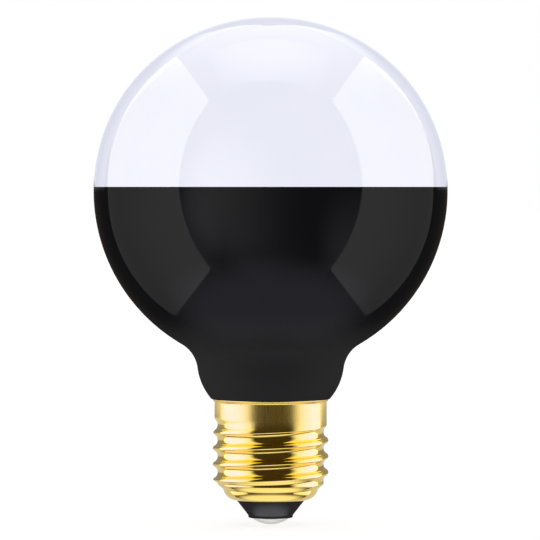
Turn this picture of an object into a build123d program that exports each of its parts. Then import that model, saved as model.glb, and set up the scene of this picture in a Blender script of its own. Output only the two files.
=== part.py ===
from build123d import *
import os
from math import acos, asin, cos, degrees, pi, radians, sin

# A globe lamp on an Edison screw cap, standing on its centre contact: the axis is Z and the
# lowest point of the contact is the origin. Lengths are in millimetres, angles in degrees,
# and a lean is an outline's angle from the vertical.

# Glass globe
GLOBE_RADIUS = 40.0
COAT_RISE = 1.0  # from the globe's centre up to the edge of the coat
NECK_OVERHANG = 0.3  # how far the neck's lower edge stands out over the cap's rim
NECK_EDGE_LEAN = 40.5
NECK_EDGE_ROUND = 0.2
NECK_WAIST_LEAN = 7.4
NECK_SWELL_RADIUS = 13.4  # the neck's outward curve above its lower edge
NECK_HOLLOW_RADIUS = 7.3  # the inward curve that runs into the globe
STUB_LENGTH = 9.0
CEMENT_GAP = 0.4

# Screw cap
CAP_HEIGHT = 23.0
CAP_WALL = 0.45
COLLAR_INSET = 0.4  # from the thread's crests in to the collar
COLLAR_HEIGHT = 3.85
RIM_PROUD = 0.45
RIM_HEIGHT = 0.2
RIM_FLARE_HEIGHT = 0.45
RIM_ROUND = 0.1
FOOT_WIDTH = 4.35  # from the thread's root in to the opening
FOOT_HEIGHT = 3.65
FOOT_FLOOR_RISE = 0.56
FOOT_BOWL_ROUND = 3.0
FOOT_WALL_WIDTH = 0.73
FOOT_WAIST_ROUND = 1.0
FOOT_FLARE_WIDTH = 1.2
FOOT_FLARE_HEIGHT = 1.0

# Edison thread, right-handed
THREAD_MAJOR_RADIUS = 13.1
THREAD_DEPTH = 1.1
THREAD_PITCH = 3.629
THREAD_FIRST_CREST = 4.71  # height of the lowest crest over the foot's opening, on the -X side
THREAD_START_LENGTH = 1.2  # height over which the crest grows out of the foot
CREST_FADE_LENGTH = 3.3  # height over which the crest sinks to the collar's radius
GROOVE_FADE_LENGTH = 1.8  # height above that over which the groove runs out into the collar
SECTIONS_PER_TURN = 9

# Insulator and centre contact
INSULATOR_HEIGHT = 3.9
INSULATOR_FOOT_RADIUS = 5.05
INSULATOR_FOOT_HEIGHT = 0.55
INSULATOR_HOLLOW_ROUND = 0.5
INSULATOR_EDGE_ROUND = 0.25
INSULATOR_PLUG_HEIGHT = 1.6
CONTACT_RADIUS = 4.35
CONTACT_HEIGHT = 1.55
RIVET_RADIUS = 1.25
RIVET_GAP = 0.1

# Radii that follow from the thread
THREAD_MINOR_RADIUS = THREAD_MAJOR_RADIUS - THREAD_DEPTH
FOOT_OPENING_RADIUS = THREAD_MINOR_RADIUS - FOOT_WIDTH
COLLAR_RADIUS = THREAD_MAJOR_RADIUS - COLLAR_INSET
RIM_RADIUS = COLLAR_RADIUS + RIM_PROUD
NECK_EDGE_RADIUS = RIM_RADIUS + NECK_OVERHANG

# Levels along the axis
OPENING_Z = CONTACT_HEIGHT + INSULATOR_HEIGHT
PLUG_TOP_Z = OPENING_Z + INSULATOR_PLUG_HEIGHT
FOOT_TOP_Z = OPENING_Z + FOOT_HEIGHT
RIM_Z = OPENING_Z + CAP_HEIGHT
COLLAR_Z = RIM_Z - COLLAR_HEIGHT


def turned(*outline):
    """Solid of revolution about Z of a closed outline in the XZ plane, with its split lines kept."""
    return revolve(Plane.XZ * make_face(outline), Axis.Z, clean=False)


def make_globe():
    """Globe, hollow and swelling neck as a chain of tangent arcs, with the stub below them."""
    edge = radians(NECK_EDGE_LEAN)
    waist = radians(NECK_WAIST_LEAN)
    swell_reach = NECK_SWELL_RADIUS * (cos(waist) - cos(edge))
    hollow_centre = NECK_EDGE_RADIUS + swell_reach + NECK_HOLLOW_RADIUS * cos(waist)
    shoulder_lean = degrees(acos(hollow_centre / (GLOBE_RADIUS + NECK_HOLLOW_RADIUS)))
    coat_angle = degrees(asin(COAT_RISE / GLOBE_RADIUS))
    stub_radius = THREAD_MINOR_RADIUS - CAP_WALL - CEMENT_GAP
    stub_z = RIM_Z - STUB_LENGTH

    neck_edge = Vector(NECK_EDGE_RADIUS, RIM_Z)
    swell = JernArc(neck_edge, (sin(edge), cos(edge)), NECK_SWELL_RADIUS, NECK_EDGE_LEAN - NECK_WAIST_LEAN)
    hollow = JernArc(swell @ 1, swell % 1, NECK_HOLLOW_RADIUS, NECK_WAIST_LEAN - shoulder_lean)
    coated = JernArc(hollow @ 1, hollow % 1, GLOBE_RADIUS, shoulder_lean + coat_angle)
    dome = JernArc(coated @ 1, coated % 1, GLOBE_RADIUS, 90 - coat_angle)
    stub = Polyline(dome @ 1, (0, stub_z), (stub_radius, stub_z), (stub_radius, RIM_Z), neck_edge)
    section = make_face([swell, hollow, coated, dome, stub])
    section = fillet(section.vertices().sort_by_distance(neck_edge)[0], NECK_EDGE_ROUND)
    return revolve(Plane.XZ * section, Axis.Z, clean=False)


def inset_corner(before, corner, after, inset):
    """Corner of an outline that is moved to its left by inset."""
    left_before = (corner - before).normalized().rotate(Axis.Z, 90)
    left_after = (after - corner).normalized().rotate(Axis.Z, 90)
    return corner + (left_before + left_after) * (inset / (1 + left_before.dot(left_after)))


def foot_outline(inset):
    """Edge, bowl corner, waist and top of the cap's foot, moved into the metal by inset."""
    top = Vector(THREAD_MINOR_RADIUS, FOOT_TOP_Z)
    waist = top - Vector(FOOT_FLARE_WIDTH, FOOT_FLARE_HEIGHT)
    bowl = Vector(waist.X - FOOT_WALL_WIDTH, OPENING_Z + FOOT_FLOOR_RISE)
    edge = Vector(FOOT_OPENING_RADIUS, OPENING_Z)
    floor = bowl - edge
    return (
        edge + Vector(0, inset * floor.length / floor.X),
        inset_corner(edge, bowl, waist, inset),
        inset_corner(bowl, waist, top, inset),
        inset_corner(waist, top, top + Vector(0, 1), inset),
    )


def make_cap_foot():
    """Bowl-shaped foot of the cap, which flares out to the thread."""
    edge, bowl, waist, top = foot_outline(0)
    outline = FilletPolyline(
        (0, OPENING_Z),
        edge,
        bowl,
        waist,
        top,
        (0, FOOT_TOP_Z),
        radius=(0, 0, FOOT_BOWL_ROUND, FOOT_WAIST_ROUND, 0, 0),
        close=True,
    )
    return turned(outline)


def make_cap_collar():
    """Plain collar with the flared, rounded rim that the glass sits on."""
    outline = FilletPolyline(
        (0, COLLAR_Z),
        (COLLAR_RADIUS, COLLAR_Z),
        (COLLAR_RADIUS, RIM_Z - RIM_HEIGHT - RIM_FLARE_HEIGHT),
        (RIM_RADIUS, RIM_Z - RIM_HEIGHT),
        (RIM_RADIUS, RIM_Z),
        (0, RIM_Z),
        radius=(0, 0, 0, 0, RIM_ROUND, 0),
        close=True,
    )
    return turned(outline)


def eased(height, start, length):
    """Smooth step from 0 to 1 over a length that begins at start."""
    share = min(max((height - start) / length, 0), 1)
    return share * share * (3 - 2 * share)


def thread_section(height):
    """Circle across the thread: it stands off the axis by half the depth, on the crest's side."""
    fade_z = COLLAR_Z - GROOVE_FADE_LENGTH
    growth = eased(height, FOOT_TOP_Z, THREAD_START_LENGTH)
    fade = eased(height, fade_z - CREST_FADE_LENGTH, CREST_FADE_LENGTH)
    run_out = eased(height, fade_z, GROOVE_FADE_LENGTH)
    crest = THREAD_MINOR_RADIUS + growth * (THREAD_MAJOR_RADIUS - THREAD_MINOR_RADIUS)
    crest += fade * (COLLAR_RADIUS - THREAD_MAJOR_RADIUS)
    root = THREAD_MINOR_RADIUS + run_out * (COLLAR_RADIUS - THREAD_MINOR_RADIUS)
    turn = pi + 2 * pi * (height - OPENING_Z - THREAD_FIRST_CREST) / THREAD_PITCH
    offset = (crest - root) / 2
    centre = (offset * cos(turn), offset * sin(turn), height)
    return Wire.make_circle((crest + root) / 2, Plane(centre))


def make_thread():
    """Round thread with both run-outs, lofted through circles whose centres wind up round the axis."""
    length = COLLAR_Z - FOOT_TOP_Z
    steps = round(SECTIONS_PER_TURN * length / THREAD_PITCH)
    sections = [thread_section(FOOT_TOP_Z + length * i / steps) for i in range(steps + 1)]
    return Solid.make_loft(sections, ruled=True)


def make_cap_bore():
    """Space inside the cap, from the opening in its foot to its rim."""
    edge, bowl, waist, top = foot_outline(CAP_WALL)
    collar_bore = COLLAR_RADIUS - CAP_WALL
    outline = FilletPolyline(
        (0, OPENING_Z),
        (FOOT_OPENING_RADIUS, OPENING_Z),
        edge,
        bowl,
        waist,
        top,
        (top.X, COLLAR_Z),
        (collar_bore, COLLAR_Z),
        (collar_bore, RIM_Z),
        (0, RIM_Z),
        radius=(0, 0, 0, FOOT_BOWL_ROUND - CAP_WALL, 0, 0, 0, 0, 0, 0),
        close=True,
    )
    return turned(outline)


def make_insulator(bore):
    """Moulded insulator: a plug that fills the foot of the cap, and a hollowed cone below it."""
    upward = (Align.CENTER, Align.CENTER, Align.MIN)
    slab = Pos(0, 0, OPENING_Z) * Cylinder(THREAD_MINOR_RADIUS, INSULATOR_PLUG_HEIGHT, align=upward)
    cone = FilletPolyline(
        (0, CONTACT_HEIGHT),
        (INSULATOR_FOOT_RADIUS, CONTACT_HEIGHT),
        (INSULATOR_FOOT_RADIUS, CONTACT_HEIGHT + INSULATOR_FOOT_HEIGHT),
        (FOOT_OPENING_RADIUS, OPENING_Z),
        (0, OPENING_Z),
        radius=(0, INSULATOR_EDGE_ROUND, INSULATOR_HOLLOW_ROUND, 0, 0),
        close=True,
    )
    rivet_hole = Cylinder(RIVET_RADIUS + RIVET_GAP, PLUG_TOP_Z, align=upward)
    return (bore & slab) + turned(cone) - rivet_hole


def make_centre_contact():
    """Domed contact whose rivet goes up through the insulator."""
    dome = TangentArc((0, 0), (CONTACT_RADIUS, CONTACT_HEIGHT), tangent=(1, 0))
    rivet = Polyline(
        dome @ 1, (RIVET_RADIUS, CONTACT_HEIGHT), (RIVET_RADIUS, PLUG_TOP_Z), (0, PLUG_TOP_Z), (0, 0)
    )
    return turned(dome, rivet)


def main():
    cap_bore = make_cap_bore()
    parts = {
        "globe": make_globe(),
        "screw_cap": make_cap_foot() + make_thread() + make_cap_collar() - cap_bore,
        "insulator": make_insulator(cap_bore),
        "centre_contact": make_centre_contact(),
    }
    os.makedirs("parts", exist_ok=True)
    for node, part in parts.items():
        export_step(part, f"parts/{node}.step")
        box = part.bounding_box()
        print(f"{node}: {part.volume:.1f} mm3, z {box.min.Z:.2f} to {box.max.Z:.2f}")


main()
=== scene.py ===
# %% [markdown]
# # A two-tone globe lamp
# This lesson dresses a globe lamp for its portrait: an opal dome, a black mirror coat on the
# lower half of the same glass, a brass screw cap, a black insulator and a tinned contact.
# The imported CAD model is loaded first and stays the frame. Its solids are meshed coarsely, and a
# polished ball shows every facet, so each one is turned again here with finer steps, at the same
# size and place.

# %% Load the frame
from math import acos, asin, atan, atan2, cos, degrees, floor, pi, radians, sin, sqrt, tau

import bmesh
import bpy
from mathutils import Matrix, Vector


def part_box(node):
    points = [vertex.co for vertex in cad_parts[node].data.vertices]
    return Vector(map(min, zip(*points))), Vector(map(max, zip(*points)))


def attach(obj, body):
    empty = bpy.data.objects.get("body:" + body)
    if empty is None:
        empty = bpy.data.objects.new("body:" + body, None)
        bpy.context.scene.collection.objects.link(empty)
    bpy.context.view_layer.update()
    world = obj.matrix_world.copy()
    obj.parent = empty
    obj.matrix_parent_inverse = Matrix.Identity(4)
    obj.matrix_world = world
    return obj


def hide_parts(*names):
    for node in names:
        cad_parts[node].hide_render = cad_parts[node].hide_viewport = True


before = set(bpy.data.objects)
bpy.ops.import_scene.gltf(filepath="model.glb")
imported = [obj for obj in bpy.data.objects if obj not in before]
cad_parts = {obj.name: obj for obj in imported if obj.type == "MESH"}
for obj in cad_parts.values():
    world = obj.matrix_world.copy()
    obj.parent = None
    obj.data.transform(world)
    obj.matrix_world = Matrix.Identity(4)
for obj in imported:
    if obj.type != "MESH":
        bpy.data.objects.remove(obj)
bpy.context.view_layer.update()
MM = 0.001
cap_low, cap_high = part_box("screw_cap")
globe_low, globe_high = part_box("globe")
OPENING_Z = cap_low.z / MM
RIM_Z = cap_high.z / MM
TOP_Z = globe_high.z / MM
print("in mm: cap from", round(OPENING_Z, 2), "to", round(RIM_Z, 2), "and top of the globe", round(TOP_Z, 2))

# %% [markdown]
# ## Camera
# The photograph was taken with a long lens, level with the edge of the black coat: only from that
# height does the edge, which is a circle, look like one straight line. The camera stands at that
# height, and is tipped down a little to bring the cap into the picture.

# %% Camera
GLOBE_RADIUS = (globe_high.x - globe_low.x) / 2 / MM
COAT_RISE = 1.0
PHOTO_SIZE = 540
PHOTO_MM_PER_PIXEL = 0.22615
PHOTO_HORIZON_ROW = 186.85
PHOTO_AXIS_COLUMN = 270.6
CAMERA_DISTANCE = 900.0
SENSOR_WIDTH = 36.0

globe_z = TOP_Z - GLOBE_RADIUS
coat_z = globe_z + COAT_RISE
aim_x = (PHOTO_SIZE / 2 - PHOTO_AXIS_COLUMN) * PHOTO_MM_PER_PIXEL
aim_z = coat_z - (PHOTO_SIZE / 2 - PHOTO_HORIZON_ROW) * PHOTO_MM_PER_PIXEL
camera = bpy.data.objects.new("camera", bpy.data.cameras.new("camera"))
bpy.context.scene.collection.objects.link(camera)
bpy.context.scene.camera = camera
camera.location = Vector((0, -CAMERA_DISTANCE, coat_z)) * MM
line_of_sight = Vector((aim_x, 0, aim_z)) * MM - camera.location
camera.rotation_euler = line_of_sight.to_track_quat("-Z", "Y").to_euler()
camera.data.sensor_width = SENSOR_WIDTH
camera.data.lens = SENSOR_WIDTH * line_of_sight.length / (PHOTO_SIZE * PHOTO_MM_PER_PIXEL * MM)
bpy.context.scene.view_settings.view_transform = "Standard"
print("lens", round(camera.data.lens, 1), "mm, aimed at a height of", round(aim_z, 1), "mm")

# %% [markdown]
# ## Helpers
# Every piece of this lamp is round, so all of them are made as a turner would: draw half the
# outline, then spin it about the axis. An arc of the outline is itself a spin, of one point about
# the arc's centre. A positive angle turns clockwise as the outline is seen from the front.

# %% Helpers for outlines
WELD_DISTANCE = 1e-5


def start_outline(radius, height):
    """A new bmesh that holds the first point of a half outline, in millimetres."""
    shape = bmesh.new()
    return shape, shape.verts.new((radius, 0, height))


def draw_line(shape, point, radius, height):
    """Extrudes the outline's last point to a new place."""
    new_point = bmesh.ops.extrude_vert_indiv(shape, verts=[point])["verts"][0]
    new_point.co = (radius, 0, height)
    return new_point


def draw_arc(shape, point, centre, angle, steps):
    """Spins the outline's last point about a centre (radius, height) by an angle in radians."""
    spun = bmesh.ops.spin(
        shape, geom=[point], cent=(centre[0], 0, centre[1]), axis=(0, 1, 0), angle=angle, steps=steps
    )
    return [part for part in spun["geom_last"] if isinstance(part, bmesh.types.BMVert)][0]


def turn_outline(shape, steps):
    """Spins the half outline all the way about the lamp's axis and turns the new faces outwards."""
    bmesh.ops.spin(
        shape, geom=shape.verts[:] + shape.edges[:], cent=(0, 0, 0), axis=(0, 0, 1), angle=tau, steps=steps,
        use_merge=True,
    )
    bmesh.ops.remove_doubles(shape, verts=shape.verts, dist=WELD_DISTANCE)
    bmesh.ops.recalc_face_normals(shape, faces=shape.faces)


def finish_piece(shape, name, node, materials):
    """Scales the shape to metres and makes it a smooth object that rides in place of a CAD node."""
    bmesh.ops.scale(shape, vec=(MM, MM, MM), verts=shape.verts)
    mesh = bpy.data.meshes.new(name)
    shape.to_mesh(mesh)
    shape.free()
    mesh.shade_smooth()
    for material in materials:
        mesh.materials.append(material)
    piece = bpy.data.objects.new(name, mesh)
    bpy.context.scene.collection.objects.link(piece)
    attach(piece, "root")
    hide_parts(node)
    print(name, "has", len(mesh.polygons), "faces")
    return piece


# %% [markdown]
# ## Helpers for materials
# Materials here are small node trees. One function adds a node of any kind with its values and
# links. Short ones that use it add what most finishes need: noise, streaks, a range, a change with
# height and a blend of two colours. So each finish below reads as a list, from pattern to shader.

# %% Helpers for materials
def linear(hex_colour):
    """An sRGB colour such as #c0c0c0 as the linear RGBA of a shader, by the sRGB standard's formula."""
    channels = [int(hex_colour[i:i + 2], 16) / 255 for i in (1, 3, 5)]
    return [c / 12.92 if c <= 0.04045 else ((c + 0.055) / 1.055) ** 2.4 for c in channels] + [1.0]


def add_node(tree, kind, sockets=None, links=None, **properties):
    """Adds a node with its properties, the values of its sockets and the links into them."""
    node = tree.nodes.new(kind)
    for name, value in properties.items():
        setattr(node, name, value)
    for name, value in (sockets or {}).items():
        node.inputs[name].default_value = value
    for name, source in (links or {}).items():
        tree.links.new(source, node.inputs[name])
    return node


def start_material(name):
    """A new material, and its node tree with no node in it."""
    material = bpy.data.materials.new(name)
    material.use_nodes = True
    tree = material.node_tree
    tree.nodes.clear()
    return material, tree


def add_noise(tree, place, grain, detail):
    """Noise with a grain in millimetres."""
    sockets = {"Scale": 1 / (grain * MM), "Detail": detail}
    return add_node(tree, "ShaderNodeTexNoise", sockets, {"Vector": place}).outputs["Fac"]


def add_streaks(tree, place, width, length, detail):
    """Noise that is stretched along the lamp's axis, with the streaks' width and length in millimetres."""
    stretch = {"Scale": (1 / (width * MM), 1 / (width * MM), 1 / (length * MM))}
    stretched = add_node(tree, "ShaderNodeMapping", stretch, {"Vector": place}).outputs[0]
    sockets = {"Scale": 1.0, "Detail": detail}
    return add_node(tree, "ShaderNodeTexNoise", sockets, {"Vector": stretched}).outputs["Fac"]


def add_range(tree, value, low, high):
    """Spreads a value that lies between 0 and 1 over another range."""
    return add_node(tree, "ShaderNodeMapRange", {"To Min": low, "To Max": high}, {"Value": value}).outputs[0]


def add_height_fade(tree, place, start, end, amount=1.0):
    """Changes smoothly from 0 at one height in millimetres to an amount at another."""
    height = add_node(tree, "ShaderNodeSeparateXYZ", links={0: place}).outputs["Z"]
    limits = {"From Min": start * MM, "From Max": end * MM, "To Max": amount}
    fade = add_node(
        tree, "ShaderNodeMapRange", limits, {"Value": height}, interpolation_type="SMOOTHSTEP"
    )
    return fade.outputs[0]


def add_blend(tree, factor, first, second):
    """Blends two sRGB colours by a factor."""
    colours = {6: linear(first), 7: linear(second)}
    return add_node(tree, "ShaderNodeMix", colours, {"Factor": factor}, data_type="RGBA").outputs[2]


# %% [markdown]
# ## Opal glass
# The dome is blown soda-lime glass, whitened on the inside with a fine powder. It looks like milk
# behind a hard clear skin: an even, slightly blue white, faintly cloudy where the powder lies
# thicker, under sharp reflections. The powder could be a second skin inside clear glass, but one
# glossy shader with a white base gives both, with less work.

# %% Opal glass
OPAL_CLOUD = 9.0
OPAL_SMEAR = 14.0
OPAL_ROUGHNESS = (0.02, 0.06)

opal_glass, tree = start_material("opal_glass")
place = add_node(tree, "ShaderNodeTexCoord").outputs["Object"]
white = add_blend(tree, add_noise(tree, place, OPAL_CLOUD, 3.0), "#ebedfa", "#f0f1fd")
roughness = add_range(tree, add_noise(tree, place, OPAL_SMEAR, 4.0), *OPAL_ROUGHNESS)
glass = add_node(
    tree, "ShaderNodeBsdfPrincipled", {"IOR": 1.52}, {"Base Color": white, "Roughness": roughness}
)
add_node(tree, "ShaderNodeOutputMaterial", links={"Surface": glass.outputs[0]})
print("made", opal_glass.name)

# %% [markdown]
# ## Black mirror coat
# The lower half of the globe is coated with a thin black film that shines like a dark mirror. A
# film of this kind is part metal, so its reflections stay weak and even from the middle of the
# ball to its edge, where plain lacquer would turn bright. A part-metallic shader with an almost
# black colour, with a trace of blue, gives that, and a fine unevenness in its polish keeps it from
# looking printed. On the neck the film is duller and a little paler, and mirrors nothing clearly.

# %% Black mirror coat
COAT_PEEL = 1.6
COAT_ROUGHNESS = (0.03, 0.07)
DULL_BELOW = 38.0
POLISHED_ABOVE = 50.0
NECK_ROUGHNESS = 0.7
FILM_METAL_SHARE = 0.7
FILM_EDGE_TINT = 0.57

black_coat, tree = start_material("black_mirror_coat")
place = add_node(tree, "ShaderNodeTexCoord").outputs["Object"]
polish = add_range(tree, add_noise(tree, place, COAT_PEEL, 2.0), *COAT_ROUGHNESS)
dulling = add_height_fade(tree, place, POLISHED_ABOVE, DULL_BELOW)
roughness = add_node(
    tree, "ShaderNodeMath", {1: NECK_ROUGHNESS}, {0: dulling, 2: polish}, operation="MULTIPLY_ADD"
)
black = add_blend(tree, dulling, "#222226", "#2b2b2e")
film = add_node(
    tree, "ShaderNodeBsdfPrincipled",
    {"Metallic": FILM_METAL_SHARE, "Specular IOR Level": 0.0, "Specular Tint": 3 * [FILM_EDGE_TINT] + [1.0]},
    {"Base Color": black, "Roughness": roughness.outputs[0]},
)
add_node(tree, "ShaderNodeOutputMaterial", links={"Surface": film.outputs[0]})
print("made", black_coat.name)

# %% [markdown]
# ## The globe
# Globe and neck are one piece of glass. From the pole down, its outline is the ball, a short
# hollow that turns outwards, and the swelling neck, each arc running into the next without a
# corner. A ball and a neck could be made apart and joined, but a seam between them would show in
# the reflections. The edge of the coat is an edge loop of the mesh, so the two finishes meet in a
# clean line: faces above it are opal and faces below it are coated. The globe is left out of what
# the other pieces mirror, so that the upper sides of the cap's thread catch the light from above it.

# %% Arcs of the globe
NECK_EDGE_RADIUS = 13.45
NECK_EDGE_LEAN = radians(40.5)
NECK_EDGE_ROUND = 0.2
NECK_WAIST_LEAN = radians(7.4)
NECK_SWELL_RADIUS = 13.4
NECK_HOLLOW_RADIUS = 7.3

coat_angle = asin(COAT_RISE / GLOBE_RADIUS)
swell_reach = NECK_SWELL_RADIUS * (cos(NECK_WAIST_LEAN) - cos(NECK_EDGE_LEAN))
hollow_centre_r = NECK_EDGE_RADIUS + swell_reach + NECK_HOLLOW_RADIUS * cos(NECK_WAIST_LEAN)
shoulder_lean = acos(hollow_centre_r / (GLOBE_RADIUS + NECK_HOLLOW_RADIUS))
hollow_centre = (hollow_centre_r, globe_z - (GLOBE_RADIUS + NECK_HOLLOW_RADIUS) * sin(shoulder_lean))
swell_centre = (
    NECK_EDGE_RADIUS - NECK_SWELL_RADIUS * cos(NECK_EDGE_LEAN),
    RIM_Z + NECK_SWELL_RADIUS * sin(NECK_EDGE_LEAN),
)
round_lean = asin(
    (NECK_SWELL_RADIUS * sin(NECK_EDGE_LEAN) - NECK_EDGE_ROUND) / (NECK_SWELL_RADIUS - NECK_EDGE_ROUND)
)
round_centre = (
    swell_centre[0] + (NECK_SWELL_RADIUS - NECK_EDGE_ROUND) * cos(round_lean), RIM_Z + NECK_EDGE_ROUND
)
print("the ball ends", round(degrees(shoulder_lean), 1), "degrees below its middle")

# %% Globe
STUB_RADIUS = 11.15
STUB_LENGTH = 9.0
GLOBE_STEPS = 192
DOME_STEPS = 56
COAT_STEPS = 36
HOLLOW_STEPS = 20
SWELL_STEPS = 16
EDGE_STEPS = 4

shape, point = start_outline(0, TOP_Z)
point = draw_arc(shape, point, (0, globe_z), pi / 2 - coat_angle, DOME_STEPS)
point = draw_arc(shape, point, (0, globe_z), coat_angle + shoulder_lean, COAT_STEPS)
point = draw_arc(shape, point, hollow_centre, NECK_WAIST_LEAN - shoulder_lean, HOLLOW_STEPS)
point = draw_arc(shape, point, swell_centre, round_lean - NECK_WAIST_LEAN, SWELL_STEPS)
point = draw_arc(shape, point, round_centre, pi / 2 - round_lean, EDGE_STEPS)
point = draw_line(shape, point, STUB_RADIUS, RIM_Z)
point = draw_line(shape, point, STUB_RADIUS, RIM_Z - STUB_LENGTH)
point = draw_line(shape, point, 0, RIM_Z - STUB_LENGTH)
turn_outline(shape, GLOBE_STEPS)
for face in shape.faces:
    face.material_index = 0 if face.calc_center_median().z > coat_z else 1
globe = finish_piece(shape, "globe_glass", "globe", [opal_glass, black_coat])
globe.visible_glossy = False

# %% [markdown]
# ## Drawn brass
# The cap is pressed from thin brass sheet: drawn into a cup through a die, which leaves fine lines
# along its length, and rolled between shaped wheels, which polishes the thread and the foot. The
# collar keeps the satin of the drawing. Brass is a metal, so its colour is the colour of its
# reflections. The drawing lines are streaks of noise along the axis, which need no painted picture.
# They are finer than a pixel on the real cap and are drawn coarse enough to show.

# %% Drawn brass
DRAW_LINE = 0.35
DRAW_LINE_LENGTH = 9.0
DRAW_LINE_DEPTH = 0.02
TARNISH_PATCH = 5.0
BRASS_ROUGHNESS = (0.08, 0.16)
COLLAR_HEIGHT = 3.85
COLLAR_SATIN = 0.16
SATIN_FADE = 3.5

drawn_brass, tree = start_material("drawn_brass")
place = add_node(tree, "ShaderNodeTexCoord").outputs["Object"]
lines = add_streaks(tree, place, DRAW_LINE, DRAW_LINE_LENGTH, 2.0)
tint = add_blend(tree, add_noise(tree, place, TARNISH_PATCH, 3.0), "#f6d770", "#fde082")
polish = add_range(tree, lines, *BRASS_ROUGHNESS)
collar_z = RIM_Z - COLLAR_HEIGHT
satin = add_height_fade(tree, place, collar_z - SATIN_FADE, collar_z, COLLAR_SATIN)
roughness = add_node(tree, "ShaderNodeMath", links={0: polish, 1: satin}, operation="ADD")
scratches = add_node(
    tree, "ShaderNodeBump", {"Strength": 0.12, "Distance": DRAW_LINE_DEPTH * MM}, {"Height": lines}
)
brass = add_node(
    tree, "ShaderNodeBsdfPrincipled", {"Metallic": 1.0},
    {"Base Color": tint, "Roughness": roughness.outputs[0], "Normal": scratches.outputs[0]},
)
add_node(tree, "ShaderNodeOutputMaterial", links={"Surface": brass.outputs[0]})
print("made", drawn_brass.name)

# %% [markdown]
# ## The screw cap
# The cap's skin is turned from its outer outline: a bowl-shaped foot, a flare, a straight wall for
# the thread, the plain collar and the flared rim under the glass. Each corner is rounded by an arc
# that touches both its lines. The straight wall gets many rows of points, which the thread needs.

# %% Helper for rounded corners
def draw_rounded_corner(shape, point, corner, after, rounding, steps):
    """Draws a line towards a corner (radius, height) and an arc that turns there to the point after."""
    corner = Vector(corner)
    arriving = (corner - Vector((point.co.x, point.co.z))).normalized()
    leaving = (Vector(after) - corner).normalized()
    turn = arriving.angle_signed(leaving)
    reach = rounding * abs(sin(turn) / (1 + cos(turn)))
    arc_start = corner - arriving * reach
    side = 1 if turn > 0 else -1
    centre = arc_start + Vector((arriving.y, -arriving.x)) * rounding * side
    point = draw_line(shape, point, *arc_start)
    return draw_arc(shape, point, centre, turn, steps)


# %% Corners of the cap
CAP_WALL = 0.45
THREAD_MAJOR_RADIUS = 13.1
THREAD_DEPTH = 1.1
THREAD_PITCH = 3.629
COLLAR_RADIUS = 12.7
RIM_PROUD = 0.45
RIM_HEIGHT = 0.15
RIM_FLARE_HEIGHT = 0.55
RIM_ROUND = 0.1
FOOT_OPENING_RADIUS = 7.65
FOOT_HEIGHT = 3.65
FOOT_FLOOR_RISE = 0.56
FOOT_BOWL_ROUND = 3.0
FOOT_WALL_WIDTH = 0.73
FOOT_WAIST_ROUND = 1.0
FOOT_FLARE_WIDTH = 1.2
FOOT_FLARE_HEIGHT = 1.0

THREAD_MINOR_RADIUS = THREAD_MAJOR_RADIUS - THREAD_DEPTH
foot_top_z = OPENING_Z + FOOT_HEIGHT
foot_top = (THREAD_MINOR_RADIUS, foot_top_z)
foot_waist = (THREAD_MINOR_RADIUS - FOOT_FLARE_WIDTH, foot_top_z - FOOT_FLARE_HEIGHT)
foot_bowl = (foot_waist[0] - FOOT_WALL_WIDTH, OPENING_Z + FOOT_FLOOR_RISE)
rim_radius = COLLAR_RADIUS + RIM_PROUD
flare_foot = (COLLAR_RADIUS, RIM_Z - RIM_HEIGHT - RIM_FLARE_HEIGHT)
flare_lip = (rim_radius, RIM_Z - RIM_HEIGHT)
rim_top = (rim_radius, RIM_Z)
print("thread from", round(foot_top_z, 2), "to", round(collar_z, 2), "mm above the lowest point")

# %% Skin of the cap
THREAD_STEPS_PER_TURN = 28
CAP_STEPS = 192
BOWL_STEPS = 14
WAIST_STEPS = 8
FLARE_STEPS = 8
RIM_STEPS = 6

shape, point = start_outline(FOOT_OPENING_RADIUS, OPENING_Z)
point = draw_rounded_corner(shape, point, foot_bowl, foot_waist, FOOT_BOWL_ROUND, BOWL_STEPS)
point = draw_rounded_corner(shape, point, foot_waist, foot_top, FOOT_WAIST_ROUND, WAIST_STEPS)
point = draw_line(shape, point, *foot_top)
thread_rows = round(THREAD_STEPS_PER_TURN * (collar_z - foot_top_z) / THREAD_PITCH)
for row in range(1, thread_rows + 1):
    height = foot_top_z + (collar_z - foot_top_z) * row / thread_rows
    point = draw_line(shape, point, THREAD_MINOR_RADIUS, height)
point = draw_rounded_corner(shape, point, flare_foot, flare_lip, 2 * RIM_ROUND, FLARE_STEPS)
point = draw_rounded_corner(shape, point, flare_lip, rim_top, RIM_ROUND / 2, RIM_STEPS)
point = draw_rounded_corner(shape, point, rim_top, (0, RIM_Z), RIM_ROUND, RIM_STEPS)
point = draw_line(shape, point, COLLAR_RADIUS - CAP_WALL, RIM_Z)
turn_outline(shape, CAP_STEPS)
print("cap skin has", len(shape.verts), "points, with", thread_rows, "rows for the thread")

# %% [markdown]
# ## The thread
# The thread is pressed into the straight wall by moving its points in and out, as the rolls do on
# the real cap. A Screw modifier could wind a profile up the wall, but its ends would be cut off, and
# this way they fade. The profile is made of two arcs that meet without a corner, a narrow one at the
# crest and a wide one at the root. It grows out of the foot. At the top its crest sinks to the
# collar, and its last groove runs out within about a third of a turn. Then the skin gets the sheet's
# thickness.

# %% Shape of the thread
THREAD_FIRST_CREST = 4.55
CREST_SHARE = 0.3
THREAD_START_LENGTH = 1.2
CREST_FADE_LENGTH = 3.3
GROOVE_FADE_LENGTH = 1.8
LAST_GROOVE_DROP = 1.9
LAST_GROOVE_FADE = 1.1

flank_lean = 2 * atan(2 * THREAD_DEPTH / THREAD_PITCH)
crest_half_width = CREST_SHARE * THREAD_PITCH / 2
crest_arc_radius = crest_half_width / sin(flank_lean)
root_arc_radius = (THREAD_PITCH / 2 - crest_half_width) / sin(flank_lean)


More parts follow.
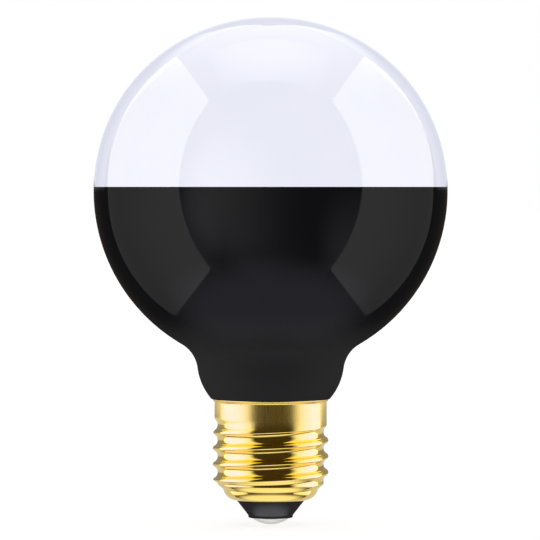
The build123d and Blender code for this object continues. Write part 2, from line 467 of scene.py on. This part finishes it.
def eased(height, start, length):
    """Smooth step from 0 to 1 over a length that begins at start."""
    share = min(max((height - start) / length, 0), 1)
    return share * share * (3 - 2 * share)


def thread_radius(angle, height):
    """Radius of the thread at an angle about the axis and a height."""
    turns = (height - OPENING_Z - THREAD_FIRST_CREST) / THREAD_PITCH - (angle - pi) / tau
    from_crest = abs(turns - round(turns)) * THREAD_PITCH
    from_root = THREAD_PITCH / 2 - from_crest
    if from_crest < crest_half_width:
        share = 1 - (crest_arc_radius - sqrt(crest_arc_radius ** 2 - from_crest ** 2)) / THREAD_DEPTH
    else:
        share = (root_arc_radius - sqrt(root_arc_radius ** 2 - from_root ** 2)) / THREAD_DEPTH
    fade_z = collar_z - GROOVE_FADE_LENGTH
    growth = eased(height, foot_top_z, THREAD_START_LENGTH)
    fade = eased(height, fade_z - CREST_FADE_LENGTH, CREST_FADE_LENGTH)
    # The height, at this angle, of the groove between the crests below and above.
    groove_z = height - (turns - floor(turns) - 0.5) * THREAD_PITCH
    depth = 1 - eased(groove_z, collar_z - LAST_GROOVE_DROP, LAST_GROOVE_FADE)
    run_out = 1 - depth * (1 - eased(height, fade_z, GROOVE_FADE_LENGTH))
    crest = THREAD_MINOR_RADIUS + growth * THREAD_DEPTH + fade * (COLLAR_RADIUS - THREAD_MAJOR_RADIUS)
    root = THREAD_MINOR_RADIUS + run_out * (min(crest, COLLAR_RADIUS) - THREAD_MINOR_RADIUS)
    return root + share * (crest - root)


print("thread arcs in mm: crest", round(crest_arc_radius, 2), "and root", round(root_arc_radius, 2))

# %% Press the thread and thicken the skin
HEIGHT_SLACK = 1e-4
RADIUS_SLACK = 1e-3

for vert in shape.verts:
    in_thread = foot_top_z - HEIGHT_SLACK < vert.co.z < collar_z + HEIGHT_SLACK
    if in_thread and vert.co.xy.length > THREAD_MINOR_RADIUS - RADIUS_SLACK:
        radius = thread_radius(atan2(vert.co.y, vert.co.x), vert.co.z)
        vert.co.xy = vert.co.xy.normalized() * radius
bmesh.ops.recalc_face_normals(shape, faces=shape.faces)
bmesh.ops.solidify(shape, geom=shape.faces[:], thickness=CAP_WALL)
cap = finish_piece(shape, "cap_shell", "screw_cap", [drawn_brass])

# %% [markdown]
# ## Black insulator
# The insulator is black glass, poured into the foot of the cap and pressed to a hollowed cone. It
# is glossy and nearly black, with a trace of blue, and the press leaves faint flow marks on it. The
# marks could be modelled, but they are too shallow to show in the outline, so they are streaks of
# noise that change the polish and seem to raise the surface. The body is turned like the others,
# with the plug that fills the foot and a hole for the contact's rivet.

# %% Insulator glass
FLOW_MARK = 0.8
FLOW_MARK_LENGTH = 5.0
FLOW_MARK_DEPTH = 0.05
INSULATOR_ROUGHNESS = (0.08, 0.24)

black_glass, tree = start_material("black_insulator_glass")
place = add_node(tree, "ShaderNodeTexCoord").outputs["Object"]
marks = add_streaks(tree, place, FLOW_MARK, FLOW_MARK_LENGTH, 3.0)
polish = add_range(tree, marks, *INSULATOR_ROUGHNESS)
flow = add_node(
    tree, "ShaderNodeBump", {"Strength": 0.2, "Distance": FLOW_MARK_DEPTH * MM}, {"Height": marks}
)
black = add_node(
    tree, "ShaderNodeBsdfPrincipled", {"Base Color": linear("#26262b"), "IOR": 1.55},
    {"Roughness": polish, "Normal": flow.outputs[0]},
)
add_node(tree, "ShaderNodeOutputMaterial", links={"Surface": black.outputs[0]})
print("made", black_glass.name)

# %% Insulator
CONTACT_HEIGHT = 1.55
INSULATOR_FOOT_RADIUS = 5.05
INSULATOR_FOOT_HEIGHT = 0.55
INSULATOR_HOLLOW_ROUND = 0.5
INSULATOR_EDGE_ROUND = 0.25
INSULATOR_PLUG_HEIGHT = 1.6
RIVET_RADIUS = 1.25
RIVET_GAP = 0.1
INSULATOR_STEPS = 128
INSULATOR_EDGE_STEPS = 6
INSULATOR_HOLLOW_STEPS = 10

hole_radius = RIVET_RADIUS + RIVET_GAP
plug_top_z = OPENING_Z + INSULATOR_PLUG_HEIGHT
hollow_corner = (INSULATOR_FOOT_RADIUS, CONTACT_HEIGHT + INSULATOR_FOOT_HEIGHT)
cone_top = (FOOT_OPENING_RADIUS, OPENING_Z)
plug_corner = (foot_bowl[0] - 2 * CAP_WALL, OPENING_Z + FOOT_FLOOR_RISE + CAP_WALL)
plug_top = (foot_bowl[0] - CAP_WALL, plug_top_z)

shape, point = start_outline(hole_radius, CONTACT_HEIGHT)
point = draw_rounded_corner(
    shape, point, (INSULATOR_FOOT_RADIUS, CONTACT_HEIGHT), hollow_corner, INSULATOR_EDGE_ROUND,
    INSULATOR_EDGE_STEPS,
)
point = draw_rounded_corner(
    shape, point, hollow_corner, cone_top, INSULATOR_HOLLOW_ROUND, INSULATOR_HOLLOW_STEPS
)
point = draw_line(shape, point, *cone_top)
point = draw_line(shape, point, FOOT_OPENING_RADIUS, OPENING_Z + CAP_WALL)
point = draw_line(shape, point, *plug_corner)
point = draw_line(shape, point, *plug_top)
point = draw_line(shape, point, hole_radius, plug_top_z)
point = draw_line(shape, point, hole_radius, CONTACT_HEIGHT)
turn_outline(shape, INSULATOR_STEPS)
finish_piece(shape, "cap_insulator", "insulator", [black_glass])

# %% [markdown]
# ## Tinned contact
# The centre contact is a riveted brass button with a skin of tin, which dulls to a soft silver grey
# with a fine grain. The grain could be painted, but one noise that changes both the colour and the
# polish gives it without a picture. The button is turned as a shallow dome with its rivet on top.

# %% Tin
TIN_GRAIN = 0.6
TIN_ROUGHNESS = (0.25, 0.45)

tinned, tree = start_material("tinned_contact")
place = add_node(tree, "ShaderNodeTexCoord").outputs["Object"]
grain = add_noise(tree, place, TIN_GRAIN, 4.0)
tin_colour = add_blend(tree, grain, "#cbcac6", "#e6e5e2")
polish = add_range(tree, grain, *TIN_ROUGHNESS)
tin = add_node(
    tree, "ShaderNodeBsdfPrincipled", {"Metallic": 1.0}, {"Base Color": tin_colour, "Roughness": polish}
)
add_node(tree, "ShaderNodeOutputMaterial", links={"Surface": tin.outputs[0]})
print("made", tinned.name)

# %% Contact
CONTACT_RADIUS = 4.35
CONTACT_STEPS = 96
CONTACT_DOME_STEPS = 20

dome_radius = (CONTACT_RADIUS ** 2 + CONTACT_HEIGHT ** 2) / (2 * CONTACT_HEIGHT)
dome_angle = asin(CONTACT_RADIUS / dome_radius)
shape, point = start_outline(0, 0)
point = draw_arc(shape, point, (0, dome_radius), -dome_angle, CONTACT_DOME_STEPS)
point = draw_line(shape, point, RIVET_RADIUS, CONTACT_HEIGHT)
point = draw_line(shape, point, RIVET_RADIUS, plug_top_z)
point = draw_line(shape, point, 0, plug_top_z)
turn_outline(shape, CONTACT_STEPS)
contact = finish_piece(shape, "cap_contact", "centre_contact", [tinned])

# %% [markdown]
# ## Floor
# The lamp stands on a white table. The table looks white to the camera mostly by a glow of its own.
# The rest of its brightness is light from the room, so the lamp's shadow still shows. The lamp
# doesn't mirror it: what shiny pieces see below them belongs to the room, at the end.

# %% Floor
FLOOR_SIZE = 20.0
FLOOR_GREY = 0.3
FLOOR_GLOW = 0.78

floor_white, tree = start_material("white_table")
ray = add_node(tree, "ShaderNodeLightPath")
matt = add_node(tree, "ShaderNodeBsdfDiffuse", {"Color": 3 * [FLOOR_GREY] + [1.0]})
seen = add_node(
    tree, "ShaderNodeMath", {1: FLOOR_GLOW}, {0: ray.outputs["Is Camera Ray"]}, operation="MULTIPLY"
)
glow = add_node(
    tree, "ShaderNodeEmission", {"Color": (1.0, 1.0, 1.0, 1.0)}, {"Strength": seen.outputs[0]}
)
both = add_node(tree, "ShaderNodeAddShader", links={0: matt.outputs[0], 1: glow.outputs[0]})
add_node(tree, "ShaderNodeOutputMaterial", links={"Surface": both.outputs[0]})

shape = bmesh.new()
bmesh.ops.create_grid(shape, x_segments=1, y_segments=1, size=FLOOR_SIZE / 2)
floor_mesh = bpy.data.meshes.new("floor")
shape.to_mesh(floor_mesh)
shape.free()
floor_mesh.materials.append(floor_white)
table = bpy.data.objects.new("floor", floor_mesh)
bpy.context.scene.collection.objects.link(table)
table.visible_glossy = False
table.visible_diffuse = False
table.visible_shadow = False
print("floor", FLOOR_SIZE, "m wide")

# %% [markdown]
# ## Cards that glow
# A polished ball mirrors the whole studio, so each bright patch on this lamp is something that
# stands around it. Area lights could be used, but a card can have any outline, and its glow can
# change along one line or away from one point. The cards are sheer: where one is seen through
# another, their light adds up. Light linking says which pieces a card may light, as a studio does
# with flags. Glass and brass are hard to light alike, and the photograph shows that they were not.
# The studio is measured in metres, and the lamp in millimetres.

# %% Helpers for cards
CARD_ROUND = 0.05
CARD_ROUND_STEPS = 6

middle_z = coat_z * MM


def glowing_cloth(name, axis_or_point, start, end, start_strength, end_strength, colour="#ffffff"):
    """A sheer cloth whose glow changes smoothly along an axis, or with the distance from a point."""
    cloth, tree = start_material(name)
    place = add_node(tree, "ShaderNodeTexCoord").outputs["Object"]
    if isinstance(axis_or_point, str):
        along = add_node(tree, "ShaderNodeSeparateXYZ", links={0: place}).outputs[axis_or_point]
    else:
        away = add_node(tree, "ShaderNodeVectorMath", {1: axis_or_point}, {0: place}, operation="DISTANCE")
        along = away.outputs["Value"]
    strength = add_node(
        tree, "ShaderNodeMapRange",
        {"From Min": start, "From Max": end, "To Min": start_strength, "To Max": end_strength},
        {"Value": along}, interpolation_type="SMOOTHSTEP",
    )
    glow = add_node(
        tree, "ShaderNodeEmission", {"Color": linear(colour)}, {"Strength": strength.outputs[0]}
    )
    sheer = add_node(tree, "ShaderNodeBsdfTransparent", {"Color": (1.0, 1.0, 1.0, 1.0)})
    both = add_node(tree, "ShaderNodeAddShader", links={0: glow.outputs[0], 1: sheer.outputs[0]})
    add_node(tree, "ShaderNodeOutputMaterial", links={"Surface": both.outputs[0]})
    return cloth


def hang_card(name, corners, cloth, lit_pieces):
    """A flat card from its corners in metres, rounded there, that only some pieces mirror."""
    shape = bmesh.new()
    shape.faces.new([shape.verts.new(corner) for corner in corners])
    bmesh.ops.bevel(
        shape, geom=shape.verts[:], offset=CARD_ROUND, affect="VERTICES", segments=CARD_ROUND_STEPS,
        profile=0.5, material=-1,
    )
    mesh = bpy.data.meshes.new(name)
    shape.to_mesh(mesh)
    shape.free()
    mesh.materials.append(cloth)
    card = bpy.data.objects.new(name, mesh)
    bpy.context.scene.collection.objects.link(card)
    card.visible_camera = False
    card.visible_diffuse = False
    card.visible_shadow = False
    card.light_linking.receiver_collection = bpy.data.collections.new(name + "_lights")
    for piece in lit_pieces:
        card.light_linking.receiver_collection.objects.link(piece)
    print(name, "lights", [piece.name for piece in lit_pieces])


def hang_spot_card(name, corners, spot, reach, strength, colour="#ffffff"):
    """A card for the glass alone, brightest at one spot and dark at its reach from there."""
    hang_card(name, corners, glowing_cloth(name + "_cloth", spot, reach, 0.0, 0.0, strength, colour), [globe])


# %% [markdown]
# ## Softboxes for the glass
# A tall softbox stands on each side of the lamp, and the globe mirrors it as a bowed panel. Its
# corners were found by following the view from each corner of the panel in the photograph, off the
# ball and out to the plane of the softbox. In front of it, a fainter halo gives the black half its
# soft light between the panel and the middle. The contact mirrors the softboxes too.

# %% Softboxes for the glass
SIDES = {"left": -1, "right": 1}
SOFTBOX_DISTANCE = 0.6
SOFTBOX_FRONT = -0.35
SOFTBOX_BACK = 0.58
SOFTBOX_FRONT_STRENGTH = 2.1
SOFTBOX_BACK_STRENGTH = 1.2
SOFTBOX_WHITE = "#ffffeb"
SOFTBOX_OUTLINE = (
    (-0.47, -0.785), (0.6, -0.785), (0.47, 0.0), (0.96, 0.86), (-0.325, 0.885), (-0.355, 0.0),
)
HALO_OUTLINE = ((-0.355, 0.0), (-0.47, -0.785), (-0.55, -1.2), (-1.1, -1.2), (-1.1, 0.0))
HALO_SPOT_BACK = -0.4
HALO_SPOT_DROP = 0.45
HALO_REACH = 0.62
HALO_STRENGTH = 0.75


def side_corners(side, distance, outline):
    """Corners (back, up) of an upright card on the left (-1) or right (1) of the lamp."""
    return [(side * distance, back, middle_z + up) for back, up in outline]


softbox_cloth = glowing_cloth(
    "glass_softbox_cloth", "Y", SOFTBOX_FRONT, SOFTBOX_BACK, SOFTBOX_FRONT_STRENGTH, SOFTBOX_BACK_STRENGTH,
    SOFTBOX_WHITE,
)
for hand, side in SIDES.items():
    corners = side_corners(side, SOFTBOX_DISTANCE, SOFTBOX_OUTLINE)
    hang_card("glass_softbox_" + hand, corners, softbox_cloth, [globe, contact])
    halo_spot = (side * SOFTBOX_DISTANCE, HALO_SPOT_BACK, middle_z - HALO_SPOT_DROP)
    halo_corners = side_corners(side, SOFTBOX_DISTANCE, HALO_OUTLINE)
    hang_spot_card("glass_halo_" + hand, halo_corners, halo_spot, HALO_REACH, HALO_STRENGTH)

# %% [markdown]
# ## Softboxes for the cap
# The brass has softboxes of its own. Between their front edges it mirrors the dark room, as a dark
# band down the middle of the cap; their light fades in from the front, so the band's edges are soft.
# White light turns yellow on brass, but the brightest parts of a bright cap look nearly white in a
# photograph, so a blue card behind each softbox makes up for what the brass swallows. The upper
# sides of the thread look over the softboxes at a lemon card, which makes them a strong yellow.

# %% Softboxes for the cap
CAP_SOFTBOX_DISTANCE = 0.65
CAP_SOFTBOX_FRONTS = {"left": -1.1, "right": -0.85}
CAP_SOFTBOX_BACKS = {"left": 0.4, "right": 0.44}
CAP_SOFTBOX_BOTTOM = -0.62
CAP_SOFTBOX_TOP = 0.5
CAP_SOFTBOX_FADE = (0.15, 0.55)
CAP_SOFTBOX_STRENGTH = 1.15
BLUE_CARD_DISTANCE = 0.67
BLUE_CARD_INSET = 0.1
BLUE_CARD_BOTTOM = -0.45
BLUE_CARD_FADE = (0.35, 1.0)
BLUE_CARD_STRENGTH = 2.3
BLUE_CARD_COLOUR = "#0030ff"
LEMON_CARD_BACK = 1.1
LEMON_CARD_TOP = 2.6
LEMON_CARD_STRENGTH = 1.25
LEMON_CARD_COLOUR = "#fff290"


def hang_cap_card(name, side, distance, edges, fade, strength, colour="#ffffff"):
    """An upright card beside the cap, given its front, back, bottom and top, that fades in from its front."""
    front, back, bottom, top = edges
    outline = ((front, bottom), (back, bottom), (back, top), (front, top))
    cloth = glowing_cloth(name + "_cloth", "Y", front + fade[0], front + fade[1], 0.0, strength, colour)
    hang_card(name, side_corners(side, distance, outline), cloth, [cap])


for hand, side in SIDES.items():
    front = CAP_SOFTBOX_FRONTS[hand]
    back = CAP_SOFTBOX_BACKS[hand]
    hang_cap_card(
        "cap_softbox_" + hand, side, CAP_SOFTBOX_DISTANCE,
        (front, back, CAP_SOFTBOX_BOTTOM, CAP_SOFTBOX_TOP), CAP_SOFTBOX_FADE, CAP_SOFTBOX_STRENGTH,
    )
    hang_cap_card(
        "cap_blue_card_" + hand, side, BLUE_CARD_DISTANCE,
        (front, back - BLUE_CARD_INSET, BLUE_CARD_BOTTOM, CAP_SOFTBOX_TOP), BLUE_CARD_FADE,
        BLUE_CARD_STRENGTH, BLUE_CARD_COLOUR,
    )
    hang_cap_card(
        "cap_lemon_card_" + hand, side, CAP_SOFTBOX_DISTANCE,
        (front, LEMON_CARD_BACK, CAP_SOFTBOX_TOP, LEMON_CARD_TOP), CAP_SOFTBOX_FADE,
        LEMON_CARD_STRENGTH, LEMON_CARD_COLOUR,
    )

# %% [markdown]
# ## Overhead softbox
# A third softbox hangs over the lamp, and the top of the dome mirrors it as a bright field. Its back
# edge has a notch: on the dome that is the grey crescent under the rim, which is widest in the
# middle and thins out to both sides. A small patch straight above the lamp brightens the dome's
# upper front.

# %% Overhead softbox
OVERHEAD_HEIGHT = 0.7
OVERHEAD_OUTLINE = (
    (-1.0, -0.27), (1.0, -0.27), (1.2, 1.6), (0.4, 1.6), (0.25, 0.96), (0.0, 0.66), (-0.25, 0.96),
    (-0.4, 1.6), (-1.2, 1.6),
)
OVERHEAD_SPOT_BACK = 0.53
OVERHEAD_REACH = 1.0
OVERHEAD_STRENGTH = 1.5
PATCH_DROP = 0.02
PATCH_OUTLINE = ((-0.31, -0.2), (0.31, -0.2), (0.31, 0.3), (-0.31, 0.3))
PATCH_REACH = 0.5
PATCH_STRENGTH = 1.2


def level_corners(outline, height):
    """Corners (across, back) of a level card at a height."""
    return [(across, back, height) for across, back in outline]


overhead_z = middle_z + OVERHEAD_HEIGHT
patch_z = overhead_z - PATCH_DROP
overhead_spot = (0, OVERHEAD_SPOT_BACK, overhead_z)
overhead_corners = level_corners(OVERHEAD_OUTLINE, overhead_z)
hang_spot_card("top_softbox", overhead_corners, overhead_spot, OVERHEAD_REACH, OVERHEAD_STRENGTH)
patch_corners = level_corners(PATCH_OUTLINE, patch_z)
hang_spot_card("top_patch", patch_corners, (0, 0, patch_z), PATCH_REACH, PATCH_STRENGTH)

# %% [markdown]
# ## Backdrops
# The ball's outermost ring mirrors what is behind the lamp. A backdrop stands there, pale blue above
# the edge of the coat and nearly black below it. Two soft glows just in front of it make the rim of
# the dome melt into the white around it. The cap has a backdrop of its own, which is brighter low
# down, where the foot mirrors it.

# %% Backdrops
BACKDROP_DISTANCE = 0.9
BACKDROP_WIDTH = 1.74
BACKDROP_HEIGHT = 1.7
BACKDROP_SPLIT = (-0.004, 0.014)
BACKDROP_LOW_STRENGTH = 0.03
BACKDROP_HIGH_STRENGTH = 0.52
BACKDROP_BLUE = "#dbe8ff"
GLOW_FORWARD = 0.02
GLOW_RISE = 0.01
GLOW_REACH = 0.55
GLOW_STRENGTH = 0.5
CROWN_FORWARD = 0.04
CROWN_RISE = 0.28
CROWN_REACH = 0.32
CROWN_STRENGTH = 0.9
CAP_BACKDROP_BEHIND = 0.05
CAP_BACKDROP_WIDTH = 3.6
CAP_BACKDROP_HEIGHT = 2.3
CAP_BACKDROP_MIDDLE = 0.05
CAP_BACKDROP_FADE = (-0.15, 0.0)
CAP_BACKDROP_LOW_STRENGTH = 0.65
CAP_BACKDROP_HIGH_STRENGTH = 0.27


def upright_corners(centre, width, height):
    """Corners of an upright card square to the view, from its centre."""
    x, y, z = centre
    signs = ((-1, -1), (1, -1), (1, 1), (-1, 1))
    return [(x + across * width / 2, y, z + up * height / 2) for across, up in signs]


backdrop_cloth = glowing_cloth(
    "glass_backdrop_cloth", "Z", middle_z + BACKDROP_SPLIT[0], middle_z + BACKDROP_SPLIT[1],
    BACKDROP_LOW_STRENGTH, BACKDROP_HIGH_STRENGTH, BACKDROP_BLUE,
)
backdrop_corners = upright_corners((0, BACKDROP_DISTANCE, middle_z), BACKDROP_WIDTH, BACKDROP_HEIGHT)
hang_card("glass_backdrop", backdrop_corners, backdrop_cloth, [globe])

glow_spot = (0, BACKDROP_DISTANCE - GLOW_FORWARD, middle_z)
glow_centre = (0, BACKDROP_DISTANCE - GLOW_FORWARD, middle_z + GLOW_RISE + GLOW_REACH / 2)
glow_corners = upright_corners(glow_centre, 2 * GLOW_REACH, GLOW_REACH)
hang_spot_card("glass_glow", glow_corners, glow_spot, GLOW_REACH, GLOW_STRENGTH)

crown_centre = (0, BACKDROP_DISTANCE - CROWN_FORWARD, middle_z + CROWN_RISE)
crown_corners = upright_corners(crown_centre, 2 * CROWN_REACH, 2 * CROWN_REACH)
hang_spot_card("glass_crown", crown_corners, crown_centre, CROWN_REACH, CROWN_STRENGTH)

cap_backdrop_cloth = glowing_cloth(
    "cap_backdrop_cloth", "Z", *CAP_BACKDROP_FADE, CAP_BACKDROP_LOW_STRENGTH, CAP_BACKDROP_HIGH_STRENGTH
)
cap_backdrop_centre = (0, BACKDROP_DISTANCE + CAP_BACKDROP_BEHIND, CAP_BACKDROP_MIDDLE)
cap_backdrop_corners = upright_corners(cap_backdrop_centre, CAP_BACKDROP_WIDTH, CAP_BACKDROP_HEIGHT)
hang_card("cap_backdrop", cap_backdrop_corners, cap_backdrop_cloth, [cap, contact])

# %% [markdown]
# ## Cards beside the camera
# The black half faces the camera, so its middle mirrors what stands there. A pale card to the left
# of the camera gives the soft sheen on the left of the middle, and a faint card low down lifts the
# black below it.

# %% Cards beside the camera
PALE_CARD_PLACE = (-0.65, -0.8)
PALE_CARD_REACH = 1.0
PALE_CARD_STRENGTH = 1.4
LOW_CARD_PLACE = (-0.3, -0.85)
LOW_CARD_DROP = 0.8
LOW_CARD_SPOT_DROP = 0.75
LOW_CARD_REACH = 0.8
LOW_CARD_STRENGTH = 0.45

pale_centre = (*PALE_CARD_PLACE, middle_z)
pale_corners = upright_corners(pale_centre, 2 * PALE_CARD_REACH, 2 * PALE_CARD_REACH)
hang_spot_card("pale_card", pale_corners, pale_centre, PALE_CARD_REACH, PALE_CARD_STRENGTH, SOFTBOX_WHITE)

low_centre = (*LOW_CARD_PLACE, middle_z - LOW_CARD_DROP)
low_spot = (*LOW_CARD_PLACE, middle_z - LOW_CARD_SPOT_DROP)
low_corners = upright_corners(low_centre, 2 * LOW_CARD_REACH, 2 * LOW_CARD_REACH)
hang_spot_card("low_card", low_corners, low_spot, LOW_CARD_REACH, LOW_CARD_STRENGTH)

# %% [markdown]
# ## Room
# The rest of the studio is the world. The camera sees it as plain white, and matt surfaces get an
# even white light from it. Shiny surfaces see a dark brown room with a white table straight below,
# which is what gives the brass its contrast.

# %% Room
TABLE_FADE_START = -0.62
TABLE_FADE_END = -0.9
TABLE_BRIGHTNESS = 1.1

world = bpy.data.worlds.new("room")
bpy.context.scene.world = world
world.use_nodes = True
tree = world.node_tree
tree.nodes.clear()
ray = add_node(tree, "ShaderNodeLightPath")
direction = add_node(tree, "ShaderNodeTexCoord").outputs["Generated"]
height = add_node(tree, "ShaderNodeSeparateXYZ", links={0: direction}).outputs["Z"]
below = add_node(
    tree, "ShaderNodeMapRange", {"From Min": TABLE_FADE_START, "From Max": TABLE_FADE_END}, {"Value": height},
    interpolation_type="SMOOTHSTEP",
)
room = add_node(
    tree, "ShaderNodeMix", {6: linear("#3a2e14"), 7: 3 * [TABLE_BRIGHTNESS] + [1.0]},
    {"Factor": below.outputs[0]}, data_type="RGBA",
)
fill_or_room = add_node(
    tree, "ShaderNodeMix", {6: linear("#ffffff")},
    {"Factor": ray.outputs["Is Glossy Ray"], 7: room.outputs[2]}, data_type="RGBA",
)
white_to_camera = add_node(
    tree, "ShaderNodeMix", {7: linear("#ffffff")},
    {"Factor": ray.outputs["Is Camera Ray"], 6: fill_or_room.outputs[2]}, data_type="RGBA",
)
sky = add_node(tree, "ShaderNodeBackground", {"Strength": 1.0}, {"Color": white_to_camera.outputs[2]})
add_node(tree, "ShaderNodeOutputWorld", links={"Surface": sky.outputs[0]})
print("made the", world.name)
